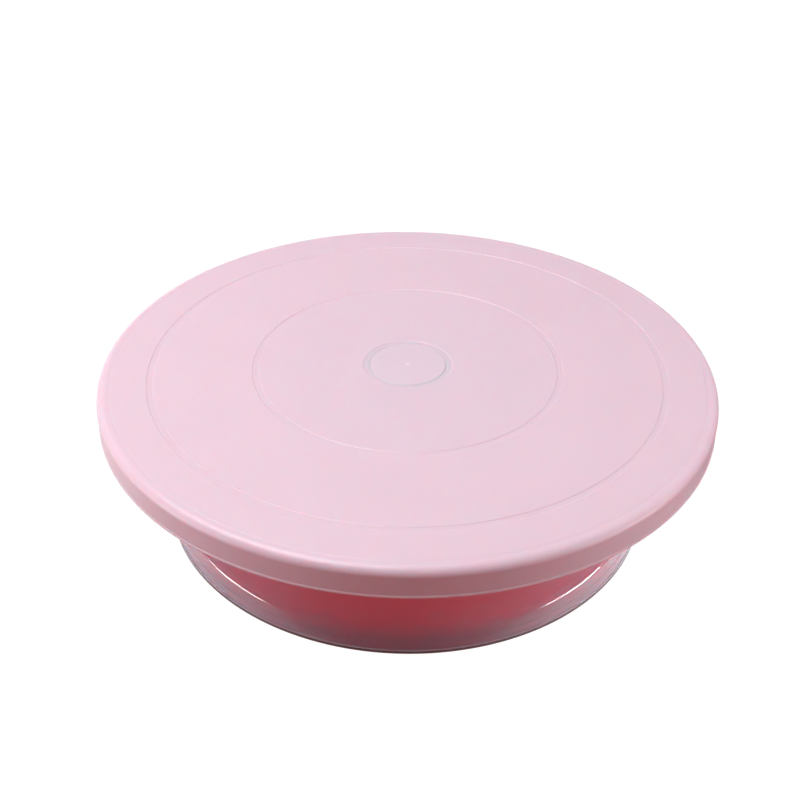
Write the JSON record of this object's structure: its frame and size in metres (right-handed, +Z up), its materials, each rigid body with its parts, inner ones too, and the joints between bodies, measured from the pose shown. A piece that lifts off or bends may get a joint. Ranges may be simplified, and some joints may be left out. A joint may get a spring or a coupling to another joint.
{
  "type": "cake turntable",
  "caption": "Round moulded cake turntable: a flat grooved plate with a rounded rim that spins freely on a caged ball ring over a low flared base.",
  "frame": {"origin": "centre of the footprint, on the table", "axes": "+Z up along the spindle, about which the plate turns"},
  "size_m": [0.28, 0.28, 0.07],
  "materials": {
    "plate_plastic": "fine matte moulded PP, pale pink",
    "cap_plastic": "matte, slightly milky plastic, pale lilac pink",
    "base_plastic": "smooth semi-gloss moulded PP, pale pink",
    "nylon": "natural nylon",
    "race_steel": "turned bearing steel, lightly oiled",
    "ball_steel": "polished bearing balls",
    "zinc": "bright zinc-plated steel",
    "rubber": "soft rose-grey thermoplastic rubber"
  },
  "bodies": {
    "base": {"base_shell": "base_plastic", "lower_race": "race_steel", "lower_race_screws": "zinc", "spindle": "race_steel", "thrust_washer": "nylon", "retaining_washer": "zinc", "retaining_spring_washer": "zinc", "retaining_screw": "zinc", "boss_washer": "zinc", "boss_spring_washer": "zinc", "spindle_nut": "zinc", "nut_cover": "base_plastic", "anti_slip_ring": "rubber"},
    "ball_ring": {"ball_cage": "nylon", "bearing_balls": "ball_steel"},
    "turntable": {"turntable_plate": "plate_plastic", "centre_cap": "cap_plastic", "hub_bush": "nylon", "upper_race": "race_steel", "upper_race_screws": "zinc"}
  },
  "joints": [
    {"name": "turntable_spin", "type": "hinge", "parent": "base", "child": "turntable", "pos_m": [0, 0, 0.0567], "axis": [0, 0, 1], "continuous": true},
    {"name": "ball_ring_spin", "type": "hinge", "parent": "base", "child": "ball_ring", "pos_m": [0, 0, 0.0587], "axis": [0, 0, 1], "continuous": true}
  ],
  "couplings": [
    {"joint": "ball_ring_spin", "follows": "turntable_spin", "ratio": 0.5}
  ]
}
